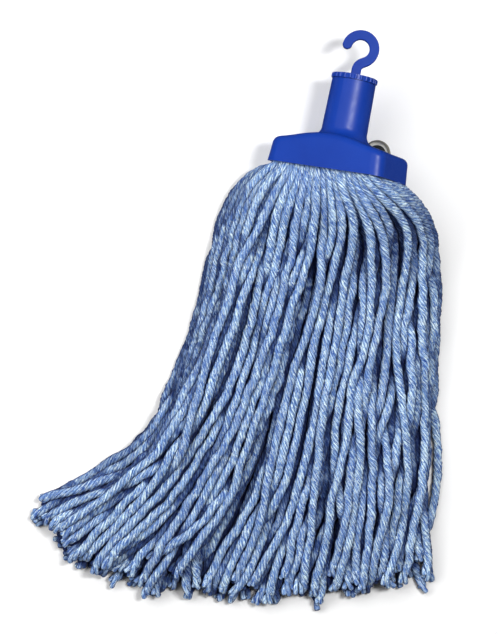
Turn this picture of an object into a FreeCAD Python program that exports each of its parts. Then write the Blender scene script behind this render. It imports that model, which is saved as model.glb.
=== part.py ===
"""String mop lying on its back on a floor.

Frame, in millimetres: the origin is on the axis of the handle bore, at the top end of its straight wall.
+Y runs out of the bore towards the handle, +Z points up from the floor, and +X is to the right.
The casing lies rolled about the bore's axis, with one long lower edge on the floor.
"""
import FreeCAD, Part
import math
import os

V = FreeCAD.Vector

# Socket casing, measured in its own frame: x across the block, y along the bore, z through its depth
ROLL = 30.0                 # degrees that the casing is rolled about the bore's axis
BORE_R = 12.65              # for a 25 mm handle
BORE_LENGTH = 37.0
LEAD_IN = 5.0               # conical mouth above the straight wall
LEAD_R = 15.0
NECK_R_TOP = 16.5
NECK_R_BASE = 17.35
NECK_BASE_Y = -41.0
NECK_FILLET = 7.5
BLOCK_W = 98.4              # at the lip
BLOCK_D = 52.0
DRAFT = 3.0                 # how far each end face leans in over the block's height
BLOCK_R = 9.0               # corner radius of the block, seen along the bore
LIP_Y = -64.0
WALL = 3.2
CAVITY_W = 89.6
CAVITY_D = BLOCK_D - 2 * WALL
# The block's top falls from the neck to both ends: y = ROOF_Y - ROOF_FALL x^2 + ROOF_EASE x^4
ROOF_Y = -37.4
ROOF_FALL = 0.0065
ROOF_EASE = 1.34e-6
ROOF_POINTS = 13
ROOF_HALF_W = 52.0
ROOF_EDGE_R = 5.5
CAVITY_TOP_Y = -50.0        # above this the cavity narrows towards the web
CAVITY_TOP_W = 32.0
CAVITY_TOP_D = 30.0
WEB_Y = -40.0               # underside of the web that closes the bore
WEB_R = BORE_R + 1.5

# Clamp screws, which go through the folded yarn from the rear
SCREW_X = 16.0
SCREW_Y = -54.0
SCREW_R = 2.4
SCREW_HEAD_R = 4.2
SCREW_HEAD_H = 2.1
SCREW_DOME_R = 5.25
SCREW_PLAY = 0.02           # radial room of the screw in its boss
SCREW_TIP_Z = BLOCK_D / 2 - 2.4
SLOT_W = 0.9
SLOT_DEPTH = 1.3
BOSS_R = 4.6
BOSS_DEPTH = 7.0

# Pressed washer plates under the screws, each with a round dish that stands above the block
DISH_R = 12.0
DISH_Y = -44.6
DISH_T = 0.8
RIM_R = 1.1
RIM_LOW_Y = -48.8           # the rolled rim stops here, above the screw's head
FOOT_R = 6.4
FOOT_T = 2.2
GAP = 0.3                   # room between pieces that don't touch
SEAT = 0.1                  # room between pieces that are clamped together

# Hang plug, ribbed cap and hook
PLUG_GAP = 0.35
PLUG_LOW = 0.9
PLUG_POCKET_R = 8.5
PLUG_POCKET = 2.0
POST_R = 5.0
POST_FIT = 0.06
CAP_R = 17.4                # over the ribs
CAP_CORE_R = 16.5
CAP_H = 3.8
RIB_COUNT = 24
RIB_R = 1.35
RIB_INSET = 0.35            # the ribs stop short of the cap's two faces
HOOK_MID_R = 10.4
HOOK_BAND = 7.2
HOOK_THICK = 5.4
HOOK_EDGE_R = 0.7
BOWL_X = 0.1
BOWL_Y = 20.9               # bowl's centre above the top of the cap
TIP_ANGLE = 170.6
BOWL_END_ANGLE = -42.0
SWING_PULL = 4.2            # how far the swing runs on along the bowl before it turns down
STEM_TOP = 5.0
STEM_PULL = 5.5
SWING_STEPS = 10
FOOT_PAD_R = 5.6

# Yarn, in the floor's frame
FLOOR_Z = -44.4
YARN_LOW_Z = FLOOR_Z + 0.2
YARN_START_Y = -65.5
YARN_INSET_W = 1.8          # from the cavity's wall to the edge of the yarn
YARN_INSET_D = 0.8
TILT_FROM_Z = 14.0          # above this height the yarn keeps back from the lip
TILT_SLOPE = 0.62           # how far the yarn's top keeps back from the lip, per mm of height, for the head's tilt
LOCKS = 8                   # locks of strands side by side in each layer
LOCK_GAP = 0.5
# Routes of the yarn over the floor, from its left edge to its right edge: (x, y) from the lip to the cut ends
ROUTES = [
    [(-42, -66), (-68, -84), (-79, -124), (-79, -184), (-84, -240), (-98, -289), (-133, -320), (-181, -354)],
    [(-21, -66), (-34, -92), (-39, -138), (-44, -194), (-53, -246), (-69, -298), (-90, -346), (-124, -398)],
    [(0, -66), (1, -94), (1, -139), (0, -193), (-4, -248), (-11, -302), (-23, -351), (-40, -404)],
    [(21, -66), (36, -93), (42, -138), (46, -193), (50, -247), (53, -299), (55, -346), (57, -390)],
    [(42, -66), (79, -85), (89, -127), (95, -182), (105, -235), (114, -284), (120, -323), (126, -360)],
]
# Height of the heap above the floor at the same stations, in its middle, and the share left at its edges
HEAP = [84, 79, 67, 56, 48, 40, 32, 22]
EDGE_SHARE = 0.42
ROLL_LEFT = [1.0, 0.45, 0.12, 0, 0, 0, 0, 0]    # how much of the casing's roll the yarn still has


def rolled(shape):
    """A shape made in the casing's frame, put in its place."""
    out = shape.copy()
    out.rotate(V(0, 0, 0), V(0, 1, 0), -ROLL)
    return out


def cylinder(radius, start, direction, length):
    return Part.makeCylinder(radius, length, start, direction)


def cone_y(radius_low, radius_high, low, high):
    """A cone about the bore's axis between two heights along Y."""
    return Part.makeCone(radius_low, radius_high, high - low, V(0, low, 0), V(0, 1, 0))


def rounded_wire(width, depth, radius, y):
    """A rounded rectangle across the bore's axis, as one closed wire."""
    a, b, r = width / 2, depth / 2, radius
    diagonal = r * (1 - math.sqrt(0.5))
    edges = []
    for sx, sz in ((1, 1), (-1, 1), (-1, -1), (1, -1)):
        along_x = V(sx * (a - r), y, sz * b)
        along_z = V(sx * a, y, sz * (b - r))
        corner = V(sx * (a - diagonal), y, sz * (b - diagonal))
        ends = (along_z, along_x) if sx * sz > 0 else (along_x, along_z)
        edges.append((ends[0], corner, ends[1]))
    out = []
    for i, (start, middle, end) in enumerate(edges):
        out.append(Part.Arc(start, middle, end).toShape())
        out.append(Part.LineSegment(end, edges[(i + 1) % 4][0]).toShape())
    return Part.Wire(out)


def prism(width, depth, radius, low, high):
    face = Part.Face(rounded_wire(width, depth, radius, low))
    return face.extrude(V(0, high - low, 0))


def bezier(poles, t):
    n = len(poles) - 1
    return sum((pole * (math.comb(n, i) * (1 - t) ** (n - i) * t ** i) for i, pole in enumerate(poles)), V())


def block():
    """The block with its sloping top, before it is hollowed."""
    roof_points = []
    for i in range(ROOF_POINTS):
        x = ROOF_HALF_W * (2 * i / (ROOF_POINTS - 1) - 1)
        roof_points.append(V(x, ROOF_Y - ROOF_FALL * x ** 2 + ROOF_EASE * x ** 4, -BLOCK_D))
    roof = Part.BSplineCurve()
    roof.interpolate(roof_points)
    left, right = roof_points[0], roof_points[-1]
    low_left, low_right = V(left.x, LIP_Y - 1, left.z), V(right.x, LIP_Y - 1, right.z)
    outline = [
        roof.toShape(),
        Part.LineSegment(right, low_right).toShape(),
        Part.LineSegment(low_right, low_left).toShape(),
        Part.LineSegment(low_left, left).toShape(),
    ]
    under_roof = Part.Face(Part.Wire(outline)).extrude(V(0, 0, 2 * BLOCK_D))
    lip = rounded_wire(BLOCK_W, BLOCK_D, BLOCK_R, LIP_Y)
    top = rounded_wire(BLOCK_W - 2 * DRAFT, BLOCK_D, BLOCK_R, ROOF_Y + 1)
    body = Part.makeLoft([lip, top], True, True).common(under_roof)
    rim = [edge for edge in body.Edges if edge.BoundBox.YMin > CAVITY_TOP_Y]
    return body.makeFillet(ROOF_EDGE_R, rim)


def neck_joined(body):
    """The body with the round neck on it, and a fillet where they meet."""
    body = body.fuse(cone_y(NECK_R_BASE, NECK_R_TOP, NECK_BASE_Y, LEAD_IN)).removeSplitter()
    foot = []
    for edge in body.Edges:
        box = edge.BoundBox
        wide = max(abs(box.XMin), abs(box.XMax), abs(box.ZMin), abs(box.ZMax))
        if WEB_Y < box.YMin and box.YMax < ROOF_Y + 0.1 and wide < NECK_R_BASE + 0.2:
            foot.append(edge)
    return body.makeFillet(NECK_FILLET, foot)


def cavity():
    width, depth, radius = CAVITY_W, CAVITY_D, BLOCK_R - WALL
    top = rounded_wire(CAVITY_TOP_W, CAVITY_TOP_D, CAVITY_TOP_D / 2 - 0.4, WEB_Y)
    roof = Part.makeLoft([rounded_wire(width, depth, radius, CAVITY_TOP_Y), top], True, True)
    return prism(width, depth, radius, LIP_Y - 1, CAVITY_TOP_Y).fuse(roof)


def socket_casing():
    body = neck_joined(block()).cut(cavity())
    bore = cylinder(BORE_R, V(0, -BORE_LENGTH, 0), V(0, 1, 0), BORE_LENGTH + 1)
    body = body.cut(bore).cut(cone_y(BORE_R, LEAD_R, 0, LEAD_IN))
    body = body.fuse(cylinder(WEB_R, V(0, WEB_Y, 0), V(0, 1, 0), -BORE_LENGTH - WEB_Y))
    for x in (-SCREW_X, SCREW_X):
        boss = cylinder(BOSS_R, V(x, SCREW_Y, BLOCK_D / 2 - WALL - BOSS_DEPTH), V(0, 0, 1), BOSS_DEPTH + 1)
        body = body.fuse(boss)
        body = body.cut(cylinder(SCREW_R + GAP, V(x, SCREW_Y, -BLOCK_D), V(0, 0, 1), BLOCK_D - WALL))
        body = body.cut(cylinder(SCREW_R + SCREW_PLAY, V(x, SCREW_Y, 0), V(0, 0, 1), SCREW_TIP_Z + 0.8))
    return rolled(body.removeSplitter())


def clamp_screw(side):
    """A pan-head screw from the rear face into the blind boss behind the front face."""
    x = side * SCREW_X
    rear = -BLOCK_D / 2 - SEAT - FOOT_T - SEAT
    shank = cylinder(SCREW_R, V(x, SCREW_Y, rear), V(0, 0, 1), SCREW_TIP_Z - rear)
    dome = Part.makeSphere(SCREW_DOME_R, V(x, SCREW_Y, rear - SCREW_HEAD_H + SCREW_DOME_R))
    head = dome.common(cylinder(SCREW_HEAD_R, V(x, SCREW_Y, rear - SCREW_HEAD_H), V(0, 0, 1), SCREW_HEAD_H))
    slot = Part.makeBox(SLOT_W, 4 * SCREW_HEAD_R, 2 * SLOT_DEPTH)
    slot.translate(V(x - SLOT_W / 2, SCREW_Y - 2 * SCREW_HEAD_R, rear - SCREW_HEAD_H - SLOT_DEPTH))
    return rolled(shank.fuse(head).cut(slot).removeSplitter())


def cup_washer(side):
    """A pressed plate under the screw's head: a thick foot, and a thin dish with a rolled rim."""
    x = side * SCREW_X
    front = -BLOCK_D / 2 - SEAT
    rear = front - FOOT_T
    dish = cylinder(DISH_R - RIM_R, V(x, DISH_Y, rear), V(0, 0, 1), DISH_T)
    foot = cylinder(FOOT_R, V(x, SCREW_Y, rear), V(0, 0, 1), FOOT_T)
    rim = Part.makeTorus(DISH_R - RIM_R, RIM_R, V(x, DISH_Y, rear + RIM_R), V(0, 0, 1))
    above = Part.makeBox(4 * DISH_R, 4 * DISH_R, 4 * RIM_R, V(x - 2 * DISH_R, RIM_LOW_Y, rear - RIM_R))
    body = dish.fuse(foot).fuse(rim.common(above))
    body = body.cut(cylinder(SCREW_R + SEAT, V(x, SCREW_Y, rear - 1), V(0, 0, 1), FOOT_T + 2))
    return rolled(body.removeSplitter())


def yarn_crown():
    """The folded and stitched top of the yarn, inside the block, with the screws through it."""
    body = prism(CAVITY_W - 4, CAVITY_D - 4, 5, LIP_Y - 0.5, CAVITY_TOP_Y - 0.7)
    for x in (-SCREW_X, SCREW_X):
        body = body.cut(cylinder(SCREW_R + GAP, V(x, SCREW_Y, -BLOCK_D), V(0, 0, 1), 2 * BLOCK_D))
        recess = V(x, SCREW_Y, BLOCK_D / 2 - WALL - BOSS_DEPTH - GAP)
        body = body.cut(cylinder(BOSS_R + GAP, recess, V(0, 0, 1), BLOCK_D))
    return rolled(body)


def binding_band():
    """The tape that is stitched round the crown, between the yarn and the casing's wall."""
    width, depth = CAVITY_W, CAVITY_D
    high = SCREW_Y - BOSS_R - GAP
    outer = prism(width - 1.2, depth - 1.2, BLOCK_R - WALL - 0.6, LIP_Y + 1.2, high)
    return rolled(outer.cut(prism(width - 3.4, depth - 3.4, 5.2, LIP_Y, SCREW_Y)))


def hang_plug():
    """The tapered spigot that stops the bore's mouth, with the post that the cap turns on."""
    slope = (LEAD_R - BORE_R) / LEAD_IN
    r_low = BORE_R + slope * PLUG_LOW - PLUG_GAP
    r_high = LEAD_R - PLUG_GAP
    pocket = cylinder(PLUG_POCKET_R, V(0, PLUG_LOW - 1, 0), V(0, 1, 0), PLUG_POCKET + 1)
    post = cylinder(POST_R, V(0, LEAD_IN - 0.1, 0), V(0, 1, 0), CAP_H - 1.2)
    return rolled(cone_y(r_low, r_high, PLUG_LOW, LEAD_IN).cut(pocket).fuse(post).removeSplitter())


def cap_base_y():
    return LEAD_IN + PLUG_GAP


def ribbed_cap():
    low = cap_base_y()
    body = cylinder(CAP_CORE_R, V(0, low, 0), V(0, 1, 0), CAP_H)
    for i in range(RIB_COUNT):
        a = 2 * math.pi * i / RIB_COUNT
        foot = V((CAP_R - RIB_R) * math.cos(a), low + RIB_INSET, (CAP_R - RIB_R) * math.sin(a))
        body = body.fuse(cylinder(RIB_R, foot, V(0, 1, 0), CAP_H - 2 * RIB_INSET))
    body = body.removeSplitter()
    return body.cut(cylinder(POST_R + POST_FIT, V(0, low - 1, 0), V(0, 1, 0), CAP_H - 0.6))


def hang_hook():
    """A flat hook of one width: a bowl, a swing down to the bore's axis, and a stem on the cap."""
    base = cap_base_y() + CAP_H
    centre = V(BOWL_X, base + BOWL_Y, 0)
    half = HOOK_BAND / 2

    def on_bowl(radius, degrees):
        a = math.radians(degrees)
        return centre + V(radius * math.cos(a), radius * math.sin(a), 0)

    end = math.radians(BOWL_END_ANGLE)
    along = V(math.sin(end), -math.cos(end), 0)
    bowl_end = on_bowl(HOOK_MID_R, BOWL_END_ANGLE)
    stem_top = V(0, base + STEM_TOP, 0)
    middle = [bowl_end, bowl_end + along * SWING_PULL, stem_top + V(0, STEM_PULL, 0), stem_top]

    def swing(offset):
        """The swing's edge, at a distance from its middle line towards the hook's outer side."""
        points = []
        for step in range(SWING_STEPS + 1):
            t = step / SWING_STEPS
            heading = bezier([b - a for a, b in zip(middle[:-1], middle[1:])], t)
            points.append(bezier(middle, t) + V(-heading.y, heading.x, 0).normalize() * offset)
        curve = Part.BSplineCurve()
        curve.interpolate(points)
        return curve.toShape()

    mid_angle = (TIP_ANGLE + BOWL_END_ANGLE) / 2
    tip_out, tip_in = on_bowl(HOOK_MID_R + half, TIP_ANGLE), on_bowl(HOOK_MID_R - half, TIP_ANGLE)
    tip_nose = on_bowl(HOOK_MID_R, TIP_ANGLE + math.degrees(half / HOOK_MID_R))
    end_out, end_in = (on_bowl(HOOK_MID_R + side * half, BOWL_END_ANGLE) for side in (1, -1))
    side_x = V(half, 0, 0)
    stem_foot = V(0, base, 0)
    edges = [
        Part.Arc(tip_out, on_bowl(HOOK_MID_R + half, mid_angle), end_out).toShape(),
        swing(half),
        Part.LineSegment(stem_top + side_x, stem_foot + side_x).toShape(),
        Part.LineSegment(stem_foot + side_x, stem_foot - side_x).toShape(),
        Part.LineSegment(stem_foot - side_x, stem_top - side_x).toShape(),
        swing(-half),
        Part.Arc(end_in, on_bowl(HOOK_MID_R - half, mid_angle), tip_in).toShape(),
        Part.Arc(tip_in, tip_nose, tip_out).toShape(),
    ]
    body = Part.Face(Part.Wire(Part.__sortEdges__(edges))).extrude(V(0, 0, HOOK_THICK))
    body.translate(V(0, 0, -HOOK_THICK / 2))
    rims = [e for e in body.Edges if e.BoundBox.ZLength < 0.01 and e.BoundBox.YMax > base + 0.1]
    body = body.makeFillet(HOOK_EDGE_R, rims)
    pad_depth = HOOK_THICK + 2.4
    pad = Part.makeBox(4 * FOOT_PAD_R, 1.0, pad_depth, V(-2 * FOOT_PAD_R, base, -pad_depth / 2))
    pad = pad.common(cylinder(FOOT_PAD_R, V(0, base - 1, 0), V(0, 1, 0), 3))
    return body.fuse(pad).removeSplitter()


def route_point(u, station):
    """A place over the floor, u of the way from the left route to the right one."""
    t = u * (len(ROUTES) - 1)
    i = min(int(t), len(ROUTES) - 2)
    a, b = ROUTES[i][station], ROUTES[i + 1][station]
    f = t - i
    return a[0] + (b[0] - a[0]) * f, a[1] + (b[1] - a[1]) * f


def heap_point(u, level, station):
    """A point of the heap: level 0 is its underside, 1 its top."""
    x, y = route_point(u, station)
    side = 2 * u - 1
    height = HEAP[station] * (1 - (1 - EDGE_SHARE) * abs(side) ** 3)
    flat_z = YARN_LOW_Z + level * height
    roll = math.radians(ROLL)
    local_x = side * (CAVITY_W / 2 - YARN_INSET_W)
    local_z = (2 * level - 1) * (CAVITY_D / 2 - YARN_INSET_D)
    lip_z = local_x * math.sin(roll) + local_z * math.cos(roll)
    lip_x = local_x * math.cos(roll) - local_z * math.sin(roll)
    keep = ROLL_LEFT[station]
    z = max(YARN_LOW_Z, flat_z + (lip_z - flat_z) * keep)
    if station == 0:
        x, y = lip_x, YARN_START_Y - TILT_SLOPE * max(0.0, lip_z - TILT_FROM_Z)
    return V(x, y, z)


def yarn_lock(index, layer):
    """One lock of strands as a closed solid of flat triangles, between two routes and two heights."""
    levels = ((0.0, 0.5), (0.5, 1.0))[layer]
    u_low, u_high = index / LOCKS, (index + 1) / LOCKS
    rings = []
    for station in range(len(HEAP)):
        a = heap_point(u_low, levels[0], station)
        b = heap_point(u_high, levels[0], station)
        c = heap_point(u_high, levels[1], station)
        d = heap_point(u_low, levels[1], station)
        across = V(b.x - a.x, b.y - a.y, 0)
        across.normalize()
        inset = across * (LOCK_GAP / 2)
        down = V(0, 0, LOCK_GAP / 2) if layer == 1 else V(0, 0, 0)
        up = V(0, 0, LOCK_GAP / 2) if layer == 0 else V(0, 0, 0)
        rings.append([a + inset + down, b - inset + down, c - inset - up, d + inset - up])
    faces = []

    def triangle(p, q, r):
        faces.append(Part.Face(Part.makePolygon([p, q, r, p])))

    for low, high in zip(rings[:-1], rings[1:]):
        for k in range(4):
            n = (k + 1) % 4
            if k in (0, 1):
                triangle(low[k], low[n], high[n])
                triangle(low[k], high[n], high[k])
            else:
                triangle(low[n], low[k], high[k])
                triangle(low[n], high[k], high[n])
    for ring in (rings[0], rings[-1]):
        triangle(ring[0], ring[1], ring[2])
        triangle(ring[0], ring[2], ring[3])
    solid = Part.makeSolid(Part.makeShell(faces))
    if solid.Volume < 0:
        solid.reverse()
    return solid


def all_parts():
    parts = {
        "socket_casing": socket_casing(),
        "yarn_crown": yarn_crown(),
        "binding_band": binding_band(),
        "hang_plug": hang_plug(),
        "ribbed_cap": ribbed_cap(),
        "hang_hook": hang_hook(),
    }
    for side, word in ((-1, "left"), (1, "right")):
        parts[f"clamp_screw_{word}"] = clamp_screw(side)
        parts[f"cup_washer_{word}"] = cup_washer(side)
    for layer, word in enumerate(("under", "over")):
        for index in range(LOCKS):
            parts[f"yarn_lock_{word}_{index + 1}"] = yarn_lock(index, layer)
    return parts


def main():
    os.makedirs("parts", exist_ok=True)
    for name, shape in all_parts().items():
        solid = shape.Solids[0] if len(shape.Solids) == 1 else shape
        ok = solid.isValid() and len(shape.Solids) == 1
        print(name, "ok" if ok else f"CHECK valid={solid.isValid()} solids={len(shape.Solids)}",
              round(solid.Volume), "mm3")
        solid.exportStep(f"parts/{name}.step")


main()
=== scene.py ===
"""The looks of a string mop that lies on its back on a pale floor.

The yarn's strands are laid as a heap of ropes: each follows a lane over the floor, and a relaxation with
gravity, contact and fixed lengths settles them on each other. All lengths are in metres.
"""
import math

import bpy
import numpy as np
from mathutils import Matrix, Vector


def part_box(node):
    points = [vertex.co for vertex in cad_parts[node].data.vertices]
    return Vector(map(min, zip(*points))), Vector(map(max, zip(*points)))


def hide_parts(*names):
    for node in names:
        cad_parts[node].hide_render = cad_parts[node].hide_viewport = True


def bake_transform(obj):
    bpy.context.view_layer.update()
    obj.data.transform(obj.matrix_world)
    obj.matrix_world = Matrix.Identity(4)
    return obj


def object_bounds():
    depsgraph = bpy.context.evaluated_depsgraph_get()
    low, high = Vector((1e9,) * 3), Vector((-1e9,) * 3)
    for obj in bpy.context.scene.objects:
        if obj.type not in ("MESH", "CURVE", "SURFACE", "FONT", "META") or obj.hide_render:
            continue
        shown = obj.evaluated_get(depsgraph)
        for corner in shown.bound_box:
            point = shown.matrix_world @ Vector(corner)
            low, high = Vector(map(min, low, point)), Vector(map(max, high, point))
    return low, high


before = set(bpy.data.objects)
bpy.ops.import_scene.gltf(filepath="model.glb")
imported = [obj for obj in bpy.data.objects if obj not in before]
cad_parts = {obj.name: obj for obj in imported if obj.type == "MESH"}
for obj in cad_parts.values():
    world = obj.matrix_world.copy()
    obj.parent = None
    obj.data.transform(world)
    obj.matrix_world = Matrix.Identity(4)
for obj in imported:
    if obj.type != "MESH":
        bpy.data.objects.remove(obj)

CAD_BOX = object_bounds()
MM = 0.001
RNG = np.random.default_rng(11)

# The casing, read from the frame where it can be
FLOOR = CAD_BOX[0][2]
LIP_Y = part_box("socket_casing")[0][1]
ROLL = math.radians(30)             # the casing's roll about the bore's axis
MOUTH_W, MOUTH_D = 86 * MM, 42 * MM  # the room inside the block's mouth
STRAND_TOP = 13 * MM                # how far above the lip the strands are drawn
DISH_X, DISH_Y = 16.0 * MM, -44.6 * MM   # middle of the washers' dishes, in the casing's own directions
DISH_R = 12.0 * MM

# The camera looks straight down
CAMERA_AT = (-0.0435, -0.1823, 1.5)
CAMERA_TURN = math.radians(11)
SHOWN_HEIGHT = 0.4736               # of the picture, at the height of the bore's axis
BACKDROP = 17.0                     # strength of the world as the camera sees it

# Routes of the yarn over the floor, from its left edge to its right edge: (x, y) from the lip to the cut ends
ROUTES = np.array([
    [(-42, -66), (-65, -82), (-73, -123), (-72, -184),
     (-77, -240), (-90, -292), (-126, -328), (-172, -360)],
    [(-21, -66), (-33, -92), (-38, -138), (-43, -194),
     (-52, -246), (-68, -298), (-90, -345), (-122, -393)],
    [(0, -66), (1, -94), (1, -139), (0, -193),
     (-4, -248), (-11, -301), (-23, -347), (-39, -392)],
    [(21, -66), (36, -93), (42, -138), (45, -193),
     (48, -247), (50, -297), (52, -342), (54, -377)],
    [(42, -66), (74, -87), (83, -127), (88, -182),
     (97, -235), (104, -282), (110, -320), (117, -348)],
]) * MM
# Height of the heap at the same stations, before it settles
HEAP = np.array([78, 75, 63, 50, 41, 34, 27, 20]) * MM

# Strands
COLUMNS, ROWS = 19, 9               # of strands, over the block's mouth
STRAND_D = 6.8 * MM
LOOSE = (0.92, 1.13)                # how much wider than its yarn a strand's room in the heap is
LIP_D = 5.0 * MM                    # strands are squeezed where they enter the block
STRAIGHT = 3 * MM                   # strands run straight this far out of the block
SWELL = 26 * MM                     # length over which they reach their full thickness below it
TRIM = 7 * MM                       # how unevenly the ends are cut
STEP = 5.6 * MM                     # between points while the strands settle
PLIES = 7
PITCH = 28 * MM                     # length of one turn of the twist
RING = 2.1 * MM                     # between rings of the mesh
POINTS_PER_PLY = 3
FREED = 9 * MM                      # length over which a cut end comes apart
FINGERS = 3                         # pieces that a cut end comes apart into
RIPPLES = ((0.34 * MM, 31 * MM), (0.26 * MM, 19 * MM))    # small bends: (size, wave length)
CLUMP = 2.6 * MM                    # how far strands lean together in clumps
BLUNT = 1.1 * MM                    # how far a finger's rounded tip runs on past its last full ring
CORDS = 40                          # strands drawn as pieces of their own
GROUPS = 12                         # bundles that the other strands are drawn in
GROOVE = 0.17                       # depth of the grooves between plies, in strand radii
LUMPS = ((0.045, 23), (0.045, 6), (0.05, 1.6))    # uneven thickness: (share of the radius, mm for a radian)
ROUGH = 0.045                       # how unevenly the surface lies, in strand radii
FIBRE_ALONG, FIBRE_ACROSS = 230, 1000    # units of the yarn's pattern to a metre of strand

# How strands leave their lanes
SCATTER = 0.022                     # sideways, as a share of the yarn's width
SHUFFLE = 0.6                       # up or down, in rows
EDGE_THIN = 0.62                    # how much thinner the heap is at its edges
CLUMP_LENGTHS = np.array([21.0, 34.0, 55.0]) * MM
CLUMPED_FROM = 0.35                 # share of its length over which a strand joins its clump
WAVES = np.array([9.0, 6.0, 3.4, 1.7])   # slow bends, in mm, from the longest to the shortest
CURLED, CURL, CURL_FROM = 0.2, 20 * MM, 0.84    # share of ends that curl, how far, and from where on

# How the heap settles, in each round
ROUNDS, QUICK_ROUNDS = 260, 60
FALL, LAST_FALL = 0.32 * MM, 0.03 * MM
HOMING = 0.035                      # share of the way back to its lane that a strand is pulled
STIFFNESS = 0.22                    # share of each bend that is straightened
PUSH = 0.30                         # share of an overlap that each of two strands gives way
NEAR = 1.5 * STRAND_D               # pairs of points within this distance are watched
ABREAST = 0.62 * STEP               # and push each other where they lie abreast within this
SEARCH_EVERY = 5                    # rounds between searches for such pairs
LENGTH_PASSES = 3


def linear(r, g, b):
    """A colour given in display values from 0 to 255, as the renderer wants it."""
    values = (((c / 255 + 0.055) / 1.055) ** 2.4 if c > 10 else c / 255 / 12.92 for c in (r, g, b))
    return (*values, 1.0)


# ---------------------------------------------------------------- camera and light

def camera_and_light():
    """The camera, three soft lamps, and a world that is darker towards the floor."""
    scene = bpy.context.scene
    scene.view_settings.view_transform = "Standard"
    camera = bpy.data.objects.new("camera", bpy.data.cameras.new("camera"))
    scene.collection.objects.link(camera)
    camera.location = CAMERA_AT
    camera.rotation_euler = (0, 0, CAMERA_TURN)
    camera.data.sensor_fit = "VERTICAL"
    camera.data.sensor_height = 24
    camera.data.lens = 24 * CAMERA_AT[2] / SHOWN_HEIGHT
    camera.data.clip_start = 0.05
    scene.camera = camera

    def area(name, place, at, size, watts, glints=True):    # without glints, reflections don't show it
        lamp = bpy.data.lights.new(name, "AREA")
        lamp.shape = "RECTANGLE"
        lamp.size, lamp.size_y = size
        lamp.energy = watts
        holder = bpy.data.objects.new(name, lamp)
        holder.location = place
        holder.rotation_euler = (Vector(at) - Vector(place)).to_track_quat("-Z", "Y").to_euler()
        holder.visible_glossy = glints
        scene.collection.objects.link(holder)

    area("key_light", (0.42, 0.10, 1.35), (0.0, -0.1, 0.0), (0.17, 0.36), 14.6)
    area("top_light", (-0.75, 0.55, 1.5), (0.0, -0.2, 0.0), (1.5, 1.5), 21.0, glints=False)
    area("left_light", (-0.85, -0.30, 0.80), (-0.05, -0.2, 0.0), (0.6, 0.6), 5.3, glints=False)
    world = bpy.data.worlds.new("studio")
    scene.world = world
    world.use_nodes = True
    tree = world.node_tree
    split = tree.nodes.new("ShaderNodeSeparateXYZ")
    tree.links.new(tree.nodes.new("ShaderNodeTexCoord").outputs["Generated"], split.inputs["Vector"])
    rise = tree.nodes.new("ShaderNodeMapRange")
    for label, value in (("From Min", -0.05), ("From Max", 0.45), ("To Min", 0.05), ("To Max", 1.12)):
        rise.inputs[label].default_value = value
    tree.links.new(split.outputs["Z"], rise.inputs["Value"])
    # the backdrop itself is seen as pale all over
    pale = tree.nodes.new("ShaderNodeMath")
    pale.operation = "MULTIPLY"
    pale.inputs[1].default_value = BACKDROP
    tree.links.new(tree.nodes.new("ShaderNodeLightPath").outputs["Is Camera Ray"], pale.inputs[0])
    seen = tree.nodes.new("ShaderNodeMath")
    seen.operation = "MAXIMUM"
    tree.links.new(rise.outputs["Result"], seen.inputs[0])
    tree.links.new(pale.outputs["Value"], seen.inputs[1])
    tree.links.new(seen.outputs["Value"], tree.nodes["Background"].inputs["Strength"])


# ---------------------------------------------------------------- materials

class Nodes:
    """A small helper to write a node material line by line."""

    def __init__(self, name):
        self.material = bpy.data.materials.new(name)
        self.material.use_nodes = True
        self.tree = self.material.node_tree
        self.shader = self.tree.nodes["Principled BSDF"]

    def add(self, kind, **values):
        node = self.tree.nodes.new(kind)
        for key, value in values.items():
            if hasattr(node, key):
                setattr(node, key, value)
            else:
                node.inputs[key].default_value = value
        return node

    def link(self, source, target):
        self.tree.links.new(source, target)

    def noise(self, place, scale, detail=2.0, roughness=0.5):
        node = self.add("ShaderNodeTexNoise", Scale=scale, Detail=detail, Roughness=roughness)
        self.link(place, node.inputs["Vector"])
        return node.outputs["Fac"]

    def bump(self, height, strength, distance):
        node = self.add("ShaderNodeBump", Strength=strength, Distance=distance)
        self.link(height, node.inputs["Height"])
        self.link(node.outputs["Normal"], self.shader.inputs["Normal"])

    def ramp(self, source, *stops):
        node = self.add("ShaderNodeValToRGB")
        ramp = node.color_ramp
        while len(ramp.elements) < len(stops):
            ramp.elements.new(0.5)
        for element, (place, colour) in zip(ramp.elements, stops):
            element.position = place
            element.color = colour
        self.link(source, node.inputs["Fac"])
        return node.outputs["Color"]

    def mix(self, factor, a, b, blend="MIX"):
        node = self.add("ShaderNodeMix", data_type="RGBA", blend_type=blend)
        for value, socket in ((factor, node.inputs["Factor"]), (a, node.inputs["A"]), (b, node.inputs["B"])):
            target = socket
            if socket.name in ("A", "B"):
                target = [s for s in node.inputs if s.name == socket.name and s.type == "RGBA"][0]
            if hasattr(value, "is_linked"):
                self.link(value, target)
            else:
                target.default_value = value
        return [s for s in node.outputs if s.type == "RGBA"][0]


def grey(value):
    return (value, value, value, 1.0)


def moulded_plastic(name, base, light, dark, roughness, specular):
    """Satin moulded plastic: flow marks in the colour, and a fine skin in the gloss and bump."""
    n = Nodes(name)
    place = n.add("ShaderNodeTexCoord").outputs["Object"]
    flow = n.noise(place, 28.0, 3.0, 0.55)
    skin = n.noise(place, 1400.0)
    scuff = n.noise(place, 260.0, 5.0, 0.7)
    n.link(n.ramp(flow, (0.3, dark), (0.5, base), (0.72, light)), n.shader.inputs["Base Color"])
    n.link(n.ramp(scuff, (0.35, grey(roughness - 0.03)), (0.7, grey(roughness + 0.07))),
           n.shader.inputs["Roughness"])
    n.bump(skin, 0.12, 0.0001)
    n.shader.inputs["IOR"].default_value = 1.49
    n.shader.inputs["Specular IOR Level"].default_value = specular
    return n.material


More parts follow.
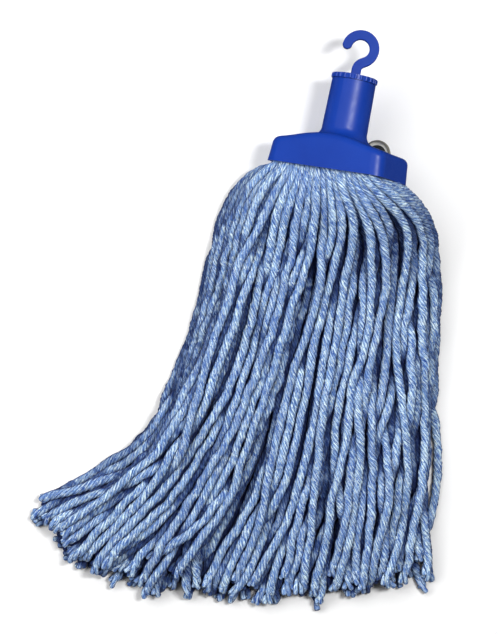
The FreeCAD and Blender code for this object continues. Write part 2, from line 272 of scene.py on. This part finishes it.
def plated_steel():
    """Zinc-plated steel, with painted shade and a painted highlight laid out by distance from the middle of
    the nearer washer's dish.
    """
    n = Nodes("zinc_plated_steel")
    place = n.add("ShaderNodeTexCoord").outputs["Object"]
    grain = n.noise(place, 700.0, 4.0)
    patch = n.noise(place, 90.0)
    bright = n.ramp(patch, (0.3, linear(214, 214, 206)), (0.7, linear(244, 244, 238)))
    # painted light on the washers: painted shade in the middle of each dish, a painted highlight band on the
    # rolled rim, and painted shade on the rim's outer edge
    level = n.add("ShaderNodeVectorRotate", rotation_type="Y_AXIS")
    level.inputs["Angle"].default_value = ROLL
    n.link(place, level.inputs["Vector"])
    mirrored = n.add("ShaderNodeVectorMath", operation="ABSOLUTE")
    n.link(level.outputs["Vector"], mirrored.inputs[0])
    across = n.add("ShaderNodeVectorMath", operation="MULTIPLY_ADD")
    n.link(mirrored.outputs["Vector"], across.inputs[0])
    across.inputs[1].default_value = (1, 1, 0)
    across.inputs[2].default_value = (-DISH_X, DISH_Y, 0)
    reach = n.add("ShaderNodeVectorMath", operation="LENGTH")
    n.link(across.outputs["Vector"], reach.inputs[0])
    share = n.add("ShaderNodeMath", operation="MULTIPLY")
    n.link(reach.outputs["Value"], share.inputs[0])
    share.inputs[1].default_value = 0.9 / DISH_R
    # painted shade, painted highlight band, painted shade, by distance from the dish's middle
    rings = n.ramp(share.outputs[0], (0.60, linear(58, 62, 62)), (0.64, linear(250, 248, 240)),
                   (0.76, linear(250, 248, 240)), (0.80, linear(120, 118, 110)),
                   (0.90, linear(150, 148, 142)), (0.97, grey(1.0)))
    n.link(n.mix(1.0, bright, rings, "MULTIPLY"), n.shader.inputs["Base Color"])
    n.link(n.ramp(grain, (0.3, grey(0.28)), (0.7, grey(0.42))), n.shader.inputs["Roughness"])
    n.bump(grain, 0.1, 0.0001)
    n.shader.inputs["Metallic"].default_value = 0.3
    return n.material


def woven_tape():
    n = Nodes("woven_tape")
    place = n.add("ShaderNodeTexCoord").outputs["Object"]
    weave = n.add("ShaderNodeTexWave", Scale=420.0, Distortion=1.5, Detail=2.0)
    n.link(place, weave.inputs["Vector"])
    n.link(n.ramp(weave.outputs["Fac"], (0.2, linear(186, 190, 196)), (0.8, linear(226, 228, 230))),
           n.shader.inputs["Base Color"])
    n.shader.inputs["Roughness"].default_value = 0.85
    n.bump(weave.outputs["Fac"], 0.4, 0.0003)
    return n.material


def yarn_material():
    """Heathered blue and white yarn. fibre is a place on the strand, drawn out along it; tone is the ply's
    own shade. Two masks carry painted shade: one is 1 in the grooves between plies, the other near 1 deep
    between strands and on their flanks."""
    n = Nodes("heathered_yarn")
    fibre = n.add("ShaderNodeAttribute", attribute_name="fibre").outputs["Vector"]
    tone = n.add("ShaderNodeAttribute", attribute_name="tone").outputs["Fac"]
    hollow = n.add("ShaderNodeAttribute", attribute_name="hollow").outputs["Fac"]
    painted_shade = n.add("ShaderNodeAttribute", attribute_name="painted_shade").outputs["Fac"]
    streak = n.noise(fibre, 0.85, 3.0, 0.6)
    fleck = n.noise(fibre, 1.35, 2.0, 0.65)
    cloud = n.noise(fibre, 0.16)
    blue = n.ramp(streak,
                  (0.34, linear(38, 72, 150)), (0.45, linear(90, 126, 190)),
                  (0.55, linear(146, 182, 226)), (0.64, linear(228, 250, 255)))
    patchy = n.mix(n.ramp(cloud, (0.40, grey(0.0)), (0.66, grey(0.4))),
                   blue, linear(108, 140, 184))
    flecked = n.mix(n.ramp(fleck, (0.55, grey(0.0)), (0.61, grey(1.0))),
                    patchy, linear(234, 252, 255))
    shaded = n.mix(n.ramp(tone, (0.0, grey(0.0)), (1.0, grey(0.5))), flecked, linear(66, 98, 168))
    # painted shade in the grooves between plies
    groove = n.mix(n.ramp(hollow, (0.3, grey(0.0)), (1.0, grey(0.55))), shaded, linear(24, 40, 92))
    # painted shade on the strands' flanks and deep in the heap, multiplied into the colour
    shadow = n.ramp(painted_shade, (0.0, grey(1.0)), (0.5, linear(112, 126, 160)), (1.0, linear(26, 36, 80)))
    with_painted_shade = n.mix(1.0, groove, shadow, "MULTIPLY")
    n.link(with_painted_shade, n.shader.inputs["Base Color"])
    n.link(n.ramp(streak, (0.3, grey(0.96)), (0.7, grey(0.82))), n.shader.inputs["Roughness"])
    height = n.add("ShaderNodeMath", operation="ADD")
    n.link(streak, height.inputs[0])
    n.link(fleck, height.inputs[1])
    n.bump(height.outputs[0], 0.75, 0.0006)
    n.shader.inputs["Sheen Weight"].default_value = 0.06
    n.shader.inputs["Sheen Roughness"].default_value = 0.5
    n.shader.inputs["Specular IOR Level"].default_value = 0.2
    return n.material


# ---------------------------------------------------------------- strand routes

def smooth(points, at):
    """Points on the smooth curve through the rows of points, at places counted in rows."""
    padded = np.concatenate([[2 * points[0] - points[1]], points, [2 * points[-1] - points[-2]]])
    i = np.clip(at.astype(int), 0, len(points) - 2)
    f = (at - i)[:, None]
    a, b, c, d = padded[i], padded[i + 1], padded[i + 2], padded[i + 3]
    return b + 0.5 * f * (c - a + f * (2 * a - 5 * b + 4 * c - d + f * (3 * (b - c) + d - a)))


def evenly(line, spacing, length=None):
    """The line again with points a fixed distance apart, run on straight or cut to the length."""
    along = np.concatenate([[0], np.cumsum(np.linalg.norm(np.diff(line, axis=0), axis=1))])
    length = along[-1] if length is None else length
    if length > along[-1]:
        end = line[-1] + (line[-1] - line[-2]) / np.linalg.norm(line[-1] - line[-2]) * (length - along[-1])
        line, along = np.vstack([line, end]), np.append(along, length)
    at = np.linspace(0, length, max(2, round(length / spacing) + 1))
    return np.stack([np.interp(at, along, line[:, k]) for k in range(line.shape[1])], axis=1)


def lane(u):
    """The stations of the lane that lies u of the way across the yarn."""
    count = len(ROUTES)
    flat = ROUTES.reshape(count, -1)
    return smooth(flat, np.array([u * (count - 1)]))[0].reshape(-1, 2)


def first_layout():
    """Each strand's first line, from its place in the mouth along its lane, and its rank in the heap."""
    lines, ranks = [], []
    for row in range(ROWS):
        for column in range(COLUMNS):
            stagger = 0.5 if row % 2 else 0.0
            across = (column + stagger + 0.25) / COLUMNS
            local_x = (across - 0.5) * (MOUTH_W - LIP_D)
            local_z = (row / (ROWS - 1) - 0.5) * (MOUTH_D - LIP_D)
            x = local_x * math.cos(ROLL) - local_z * math.sin(ROLL)
            z = local_x * math.sin(ROLL) + local_z * math.cos(ROLL)
            u = np.clip(across + RNG.normal(0, SCATTER), 0.0, 1.0)
            level = (row + RNG.uniform(-SHUFFLE, SHUFFLE) + 0.5) / ROWS
            stations = lane(u)
            edge = 1 - EDGE_THIN * abs(2 * u - 1) ** 2.5
            heights = FLOOR + STRAND_D / 2 + np.clip(level, 0.03, 1) * HEAP * edge
            # the heap's height eases in from the strand's own height in the mouth
            heights[1] += (z - heights[1]) * 0.45
            heights[2] += (z - heights[2]) * 0.10
            fan = np.column_stack([stations, heights])[1:]
            head = np.array([[x, LIP_Y + STRAND_TOP, z], [x, LIP_Y - STRAIGHT, z]])
            knots = np.vstack([head, fan])
            line = smooth(knots, np.linspace(0, len(knots) - 1, 160))
            cut = np.clip(RNG.normal(0, TRIM), -2 * TRIM, 1.4 * TRIM)
            long = np.linalg.norm(np.diff(line, axis=0), axis=1).sum() + cut
            lines.append(evenly(line, STEP, long))
            ranks.append(row)
    return lines, np.array(ranks)


def wander(lines):
    """Gathers the strands in clumps, and bends each sideways by slow waves that grow towards its cut end."""
    clump_phase = RNG.uniform(0, 2 * math.pi, 3)
    for line in lines:
        s = np.linspace(0, 1, len(line))
        start_x = line[len(line) // 3, 0]
        pull = sum(CLUMP * np.sin(2 * math.pi * start_x / length + clump_phase[k] + (k + 1) * 1.3 * s)
                   for k, length in enumerate(CLUMP_LENGTHS))
        line[:, 0] += pull * np.clip(s / CLUMPED_FROM, 0, 1) ** 1.5
        grow = s ** 1.4
        angle = RNG.uniform(0, 2 * math.pi, 4)
        free = 1 + 0.7 * np.clip((line[-1, 0] + 20 * MM) / (100 * MM), 0, 1)    # looser at the right
        size = RNG.normal(0, 1, 4) * WAVES * MM * free
        wave = sum(size[k] * np.sin((k + 1.3) * 2.6 * s + angle[k]) for k in range(4))
        along = np.gradient(line[:, :2], axis=0)
        along /= np.linalg.norm(along, axis=1)[:, None]
        line[:, 0] += -along[:, 1] * wave * grow
        line[:, 1] += along[:, 0] * wave * grow
        if RNG.random() < CURLED:
            curl = RNG.normal(0, CURL) * np.clip((s - CURL_FROM) / 0.16, 0, 1) ** 2
            line[:, 0] += -along[:, 1] * curl
            line[:, 1] += along[:, 0] * curl


def close_pairs(points, owner, reach):
    """Index pairs of points of different strands that lie within reach of each other."""
    cell = np.floor(points / reach).astype(np.int64)
    cell -= cell.min(axis=0) - 1
    size = cell.max(axis=0) + 2
    key = (cell[:, 0] * size[1] + cell[:, 1]) * size[2] + cell[:, 2]
    order = np.argsort(key, kind="stable")
    ordered = key[order]
    found = []
    for shift in np.ndindex(3, 3, 3):
        dx, dy, dz = (s - 1 for s in shift)
        wanted = key + (dx * size[1] + dy) * size[2] + dz
        low = np.searchsorted(ordered, wanted, "left")
        count = np.searchsorted(ordered, wanted, "right") - low
        first = np.repeat(np.arange(len(points)), count)
        step = np.arange(count.sum()) - np.repeat(np.cumsum(count) - count, count)
        second = order[np.repeat(low, count) + step]
        keep = owner[first] < owner[second]
        found.append(np.stack([first[keep], second[keep]]))
    pairs = np.concatenate(found, axis=1)
    near = np.linalg.norm(points[pairs[0]] - points[pairs[1]], axis=1) < reach
    return pairs[:, near]


def settle(lines, rounds):
    """Lets the strands sink onto the floor and each other, at fixed lengths."""
    count = max(len(line) for line in lines)
    real = np.array([len(line) for line in lines])
    x = np.stack([np.vstack([line, np.repeat(line[-1:], count - len(line), axis=0)]) for line in lines])
    target = x.copy()
    spacing = np.array([np.linalg.norm(line[1] - line[0]) for line in lines])[:, None]
    index = np.arange(count)
    held = index * STEP < STRAND_TOP + STRAIGHT
    alive = index[None, :] < real[:, None]
    below_lip = np.clip((index * STEP - STRAND_TOP) / SWELL, 0, 1)
    radius = (LIP_D + (STRAND_D - LIP_D) * below_lip) / 2
    owner = np.repeat(np.arange(len(lines)), count)
    room = RNG.uniform(LOOSE[0], LOOSE[1], len(lines))
    along_room = 1 + (room[:, None] - 1) * below_lip[None, :]
    point_radius = (radius[None, :] * along_room).ravel()
    live = np.flatnonzero(alive.ravel())
    for turn in range(rounds):
        fall = FALL * (1 - turn / rounds) + LAST_FALL
        x[:, ~held, 2] -= fall
        x[..., :2] += HOMING * (target[..., :2] - x[..., :2])
        middle = (x[:, :-2] + x[:, 2:]) / 2
        x[:, 1:-1] += STIFFNESS * (middle - x[:, 1:-1]) * alive[:, 2:, None]
        points = x.reshape(-1, 3)
        if turn % SEARCH_EVERY == 0:
            pairs = live[close_pairs(points[live], owner[live], NEAR)]
        tangent = np.gradient(x, axis=1).reshape(-1, 3)
        tangent /= np.maximum(np.linalg.norm(tangent, axis=1), 1e-9)[:, None]
        i, j = pairs
        gap = points[j] - points[i]
        axis = tangent[i] + tangent[j] * np.sign((tangent[i] * tangent[j]).sum(1))[:, None]
        axis /= np.maximum(np.linalg.norm(axis, axis=1), 1e-9)[:, None]
        along = (gap * axis).sum(1)
        side = gap - along[:, None] * axis
        far = np.maximum(np.linalg.norm(side, axis=1), 1e-6)
        need = point_radius[i] + point_radius[j]
        hit = (far < need) & (np.abs(along) < ABREAST)
        i, j = i[hit], j[hit]
        push = side[hit] / far[hit, None] * ((need - far)[hit] * PUSH)[:, None]
        for k in range(3):
            points[:, k] += np.bincount(j, push[:, k], len(points)) - np.bincount(i, push[:, k], len(points))
        x = points.reshape(x.shape)
        x[:, held] = target[:, held]
        for _ in range(LENGTH_PASSES):
            for start in (0, 1):
                a, b = x[:, start:-1:2], x[:, start + 1::2]
                n = min(a.shape[1], b.shape[1])
                a, b = a[:, :n], b[:, :n]
                d = b - a
                long = np.maximum(np.linalg.norm(d, axis=2), 1e-9)[..., None]
                shift = 0.5 * d * (1 - spacing[..., None] / long)
                fixed = held[start:-1:2][:n][None, :, None]
                a += np.where(fixed, 0, shift)
                b -= np.where(fixed, 2 * shift, shift)
            x[:, held] = target[:, held]
        x[..., 2] = np.maximum(x[..., 2], FLOOR + radius[None, :])
    return [x[k, :real[k]] for k in range(len(lines))]


def strand_lines():
    """The settled strands as even, smooth lines, and their ranks in the heap."""
    lines, ranks = first_layout()
    wander(lines)
    lines = settle(lines, ROUNDS)
    out = []
    for line in lines:
        calm = line.copy()
        for _ in range(2):
            calm[2:-1] = 0.5 * calm[2:-1] + 0.25 * (calm[1:-2] + calm[3:])
        s = np.arange(len(calm)) * STEP
        for size, wave in RIPPLES:
            ripple = size * RNG.normal(0, 1) * np.sin(2 * math.pi * s / wave + RNG.uniform(0, 6.3))
            calm[:, 0] += ripple * np.clip((s - STRAND_TOP) / (3 * SWELL), 0, 1)
        calm[:, 2] = np.maximum(calm[:, 2], FLOOR + STRAND_D / 2)
        at = np.linspace(0, len(calm) - 1, 4 * len(calm))
        out.append(evenly(smooth(calm, at), RING))
    return out, ranks


# ---------------------------------------------------------------- strand meshes

def frames_along(line):
    """Unit tangents and two unit normals at each point, turning as little as they can."""
    tangent = np.gradient(line, axis=0)
    tangent /= np.linalg.norm(tangent, axis=1)[:, None]
    normal = np.zeros_like(line)
    first = np.cross(tangent[0], (0.0, 0.0, 1.0))
    normal[0] = first / np.linalg.norm(first)
    for k in range(1, len(line)):
        n = normal[k - 1] - tangent[k] * (normal[k - 1] @ tangent[k])
        normal[k] = n / np.linalg.norm(n)
    return tangent, normal, np.cross(tangent, normal)


class MeshData:
    """Collects rings of points into closed tubes, with the attributes that the yarn's material reads."""

    def __init__(self):
        self.points, self.faces, self.fibre, self.tone, self.hollow, self.painted_shade = [], [], [], [], [], []
        self.count = 0

    def tube(self, rings, fibre, tone, hollow, painted_shade, start_cap, end_cap):
        """rings is (rings, sides, 3). The caps are single points that close the tube."""
        rows, sides = rings.shape[:2]
        base = self.count
        grid = base + np.arange(rows * sides).reshape(rows, sides)
        turned = np.roll(grid, -1, axis=1)
        quads = np.stack([grid[:-1], turned[:-1], turned[1:], grid[1:]], axis=-1).reshape(-1, 4)
        self.faces += quads.tolist()
        last = base + rows * sides
        self.faces += [(last, int(b), int(a)) for a, b in zip(grid[0], turned[0])]
        self.faces += [(last + 1, int(a), int(b)) for a, b in zip(grid[-1], turned[-1])]
        self.points += [rings.reshape(-1, 3), np.array([start_cap, end_cap])]
        self.fibre += [fibre.reshape(-1, 3), np.array([fibre[0].mean(axis=0), fibre[-1].mean(axis=0)])]
        self.tone += [np.broadcast_to(tone, (rows, sides)).ravel(), [float(np.mean(tone))] * 2]
        self.hollow += [np.broadcast_to(hollow, (rows, sides)).ravel(), [0.3, 0.3]]
        self.painted_shade += [painted_shade.ravel(), [painted_shade[0].mean(), painted_shade[-1].mean()]]
        self.count += rows * sides + 2

    def build(self, name, material):
        mesh = bpy.data.meshes.new(name)
        mesh.from_pydata(np.concatenate(self.points).tolist(), [], self.faces)
        for label, kind, values in (("fibre", "FLOAT_VECTOR", self.fibre), ("tone", "FLOAT", self.tone),
                                    ("hollow", "FLOAT", self.hollow), ("painted_shade", "FLOAT", self.painted_shade)):
            attribute = mesh.attributes.new(label, kind, "POINT")
            data = np.concatenate(values).astype(np.float32)
            attribute.data.foreach_set("vector" if kind == "FLOAT_VECTOR" else "value", data.ravel())
        mesh.polygons.foreach_set("use_smooth", [True] * len(mesh.polygons))
        mesh.materials.append(material)
        piece = bpy.data.objects.new(name, mesh)
        bpy.context.scene.collection.objects.link(piece)
        return piece


def buried(lines):
    """For each strand, how far each of its points is walled in by strands that lie higher, from 0 to 1; it
    sets the yarn's painted shade deep in the heap.
    """
    cell = 2 * MM
    reach = 3
    points = np.concatenate(lines)
    place = np.floor(points[:, :2] / cell).astype(int)
    place -= place.min(axis=0) - reach - 2
    top = np.full(place.max(axis=0) + reach + 3, FLOOR)
    np.maximum.at(top, (place[:, 0], place[:, 1]), points[:, 2])
    level = np.max([np.roll(top, (i, j), axis=(0, 1)) for i in (-1, 0, 1) for j in (-1, 0, 1)], axis=0)
    walls = []
    for turn in range(8):
        step = reach * np.array([math.cos(turn * math.pi / 4), math.sin(turn * math.pi / 4)])
        x, y = (place + np.rint(step).astype(int)).T
        walls.append(np.clip((level[x, y] - points[:, 2] - 0.6 * MM) / (5.0 * MM), 0, 1))
    depth = np.clip((np.mean(walls, axis=0) - 0.30) / 0.50, 0, 1)
    return np.split(depth, np.cumsum([len(line) for line in lines])[:-1])


def painted_shade_from_above(outward_z, depth, open_share):
    """Painted shade between strands: on the strands' flanks, and on all of a strand that lies deep."""
    flank = 0.97 * np.clip((0.56 - outward_z) / 0.58, 0, 1) * open_share
    return 1 - (1 - flank) * (1 - 0.95 * depth * open_share)


def add_strand(data, line, depth, seed):
    """One twisted strand of plies along the line, which comes apart into a few fingers at the cut end."""
    rng = np.random.default_rng(1000 + seed)
    tangent, side, up = frames_along(line)
    s = np.arange(len(line)) * RING
    below_lip = np.clip((s - STRAND_TOP) / SWELL, 0, 1)
    lumps = 1 + sum(size * np.sin(s / (wave * MM) + rng.uniform(0, 2 * math.pi))
                    for size, wave in LUMPS)
    radius = (LIP_D + (STRAND_D - LIP_D) * below_lip) / 2 * 1.04 * lumps
    pitch = PITCH * rng.uniform(0.9, 1.15)
    twist = rng.uniform(0, 2 * math.pi) - 2 * math.pi * s / pitch
    sides = PLIES * POINTS_PER_PLY
    around = np.arange(sides) / sides * 2 * math.pi
    # 1 between plies: it thins the strand there and marks where painted shade goes in the grooves
    groove = 1 - np.abs(np.sin(PLIES * around / 2))
    ply_tone = rng.uniform(0, 1) * 0.5 + rng.uniform(-0.45, 0.45, PLIES)
    freed_rings = round(FREED * rng.uniform(0.6, 1.3) / RING)
    body = len(line) - freed_rings

    angle = twist[:body, None] + around[None, :]
    r = radius[:body, None] * (1 - GROOVE * groove[None, :])
    # how much of the painted shade between strands a point takes, from little near the lip to all of it
    # further down
    apart = 0.06 + 0.94 * np.clip((s - STRAND_TOP) / (2.4 * SWELL), 0, 1) ** 1.4
    r *= 1 + rng.normal(0, ROUGH, r.shape)
    r[-1] *= 0.8
    outward = np.cos(angle)[..., None] * side[:body, None] + np.sin(angle)[..., None] * up[:body, None]
    rings = line[:body, None] + r[..., None] * outward
    fibre = np.stack([np.broadcast_to(s[:body, None] * FIBRE_ALONG + seed * 17.0, angle.shape),
                      FIBRE_ACROSS * r * np.cos(around)[None, :],
                      FIBRE_ACROSS * r * np.sin(around)[None, :]], axis=-1)
    tones = np.clip(np.repeat(ply_tone, POINTS_PER_PLY), 0, 1)[None, :]
    # painted shade on the flanks and on strands that lie deep
    dark = painted_shade_from_above(outward[..., 2], depth[:body, None], apart[:body, None])
    data.tube(rings, fibre, tones, groove[None, :], dark, line[0], line[body - 1])

    thin = 8
    circle = np.arange(thin) / thin * 2 * math.pi
    place, width = 0.52, 0.55           # a finger's distance from the middle and its radius, in strand radii
    first = body - 3
    for finger in range(FINGERS):
        k = np.arange(first, len(line) - int(rng.integers(0, 3)))
        t = np.clip((k - body) / max(1, freed_rings), 0, 1)
        out = radius[k] * place * (1 + rng.uniform(0.1, 1.3) * t ** 1.5)
        turn = twist[k] + finger / FINGERS * 2 * math.pi + rng.normal(0, 0.4) * t
        centre = line[k] + out[:, None] * (np.cos(turn)[:, None] * side[k] + np.sin(turn)[:, None] * up[k])
        size = radius[k] * width * (0.95 + 0.25 * t)
        ahead = (centre[-1] - centre[-2]) / np.linalg.norm(centre[-1] - centre[-2])
        centre = np.vstack([centre, centre[-1] + ahead * BLUNT])
        size = np.append(size, size[-1] * 0.8)
        k = np.append(k, k[-1])
        centre[:, 2] = np.maximum(centre[:, 2], FLOOR + 0.9 * size)
        _, n1, n2 = frames_along(centre)
        outward = np.cos(circle)[None, :, None] * n1[:, None] + np.sin(circle)[None, :, None] * n2[:, None]
        rings = centre[:, None] + size[:, None, None] * outward
        rings[..., 2] = np.maximum(rings[..., 2], FLOOR)
        along = s[k][:, None] * FIBRE_ALONG + seed * 17.0 + finger * 5
        fibre = np.stack([np.broadcast_to(along, rings.shape[:2]),
                          FIBRE_ACROSS * size[:, None] * np.cos(circle)[None, :],
                          FIBRE_ACROSS * size[:, None] * np.sin(circle)[None, :]], axis=-1)
        tip = centre[-1] + ahead * BLUNT / 3
        # painted shade on the fingers' flanks and on fingers that lie deep
        dark = painted_shade_from_above(outward[..., 2], depth[k][:, None], apart[k][:, None])
        data.tube(rings, fibre, np.clip(ply_tone[finger] + 0.1, 0, 1), 0.15, dark, centre[0], tip)


def build_yarn():
    """The highest strands as cords of their own, and the rest in bundles."""
    material = yarn_material()
    lines, ranks = strand_lines()
    depths = buried(lines)
    top = sorted(range(len(lines)), key=lambda k: (-ranks[k], k))
    cords = set(top[:CORDS])
    locks = [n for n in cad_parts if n.startswith("yarn_")]
    for number, k in enumerate(sorted(cords)):
        data = MeshData()
        add_strand(data, lines[k], depths[k], k)
        piece = data.build(f"strand_{number + 1}", material)
        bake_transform(piece)
    rest = [k for k in range(len(lines)) if k not in cords]
    for group in range(GROUPS):
        data = MeshData()
        for k in rest[group::GROUPS]:
            add_strand(data, lines[k], depths[k], k)
        piece = data.build(f"yarn_bundle_{group + 1}", material)
        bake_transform(piece)
        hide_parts(*locks)


def build_floor():
    n = Nodes("pale_floor")
    place = n.add("ShaderNodeTexCoord").outputs["Object"]
    n.link(n.ramp(n.noise(place, 9.0), (0.3, grey(0.90)), (0.7, grey(0.92))), n.shader.inputs["Base Color"])
    n.shader.inputs["Roughness"].default_value = 0.9
    mesh = bpy.data.meshes.new("floor")
    half, z = 3.0, FLOOR - 0.0002
    corners = [(-half, -half, z), (half, -half, z), (half, half, z), (-half, half, z)]
    mesh.from_pydata(corners, [], [(0, 1, 2, 3)])
    mesh.materials.append(n.material)
    floor = bpy.data.objects.new("floor", mesh)
    bpy.context.scene.collection.objects.link(floor)
    floor.visible_glossy = False


def dress_cad():
    """Gives the frame's pieces their materials."""
    plastic = moulded_plastic("blue_plastic", linear(10, 54, 151), linear(13, 58, 157), linear(8, 50, 144),
                              roughness=0.39, specular=0.40)
    hook = moulded_plastic("hook_plastic", linear(14, 52, 144), linear(18, 56, 149), linear(11, 48, 139),
                           roughness=0.5, specular=0.19)
    steel, tape = plated_steel(), woven_tape()
    finish = {"socket_casing": plastic, "hang_plug": plastic, "ribbed_cap": plastic, "hang_hook": hook,
              "binding_band": tape}
    for node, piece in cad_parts.items():
        if node.startswith(("clamp_screw", "cup_washer")):
            material = steel
        elif node in finish:
            material = finish[node]
        else:
            continue
        piece.data.materials.clear()
        piece.data.materials.append(material)


camera_and_light()
build_yarn()
build_floor()
dress_cad()
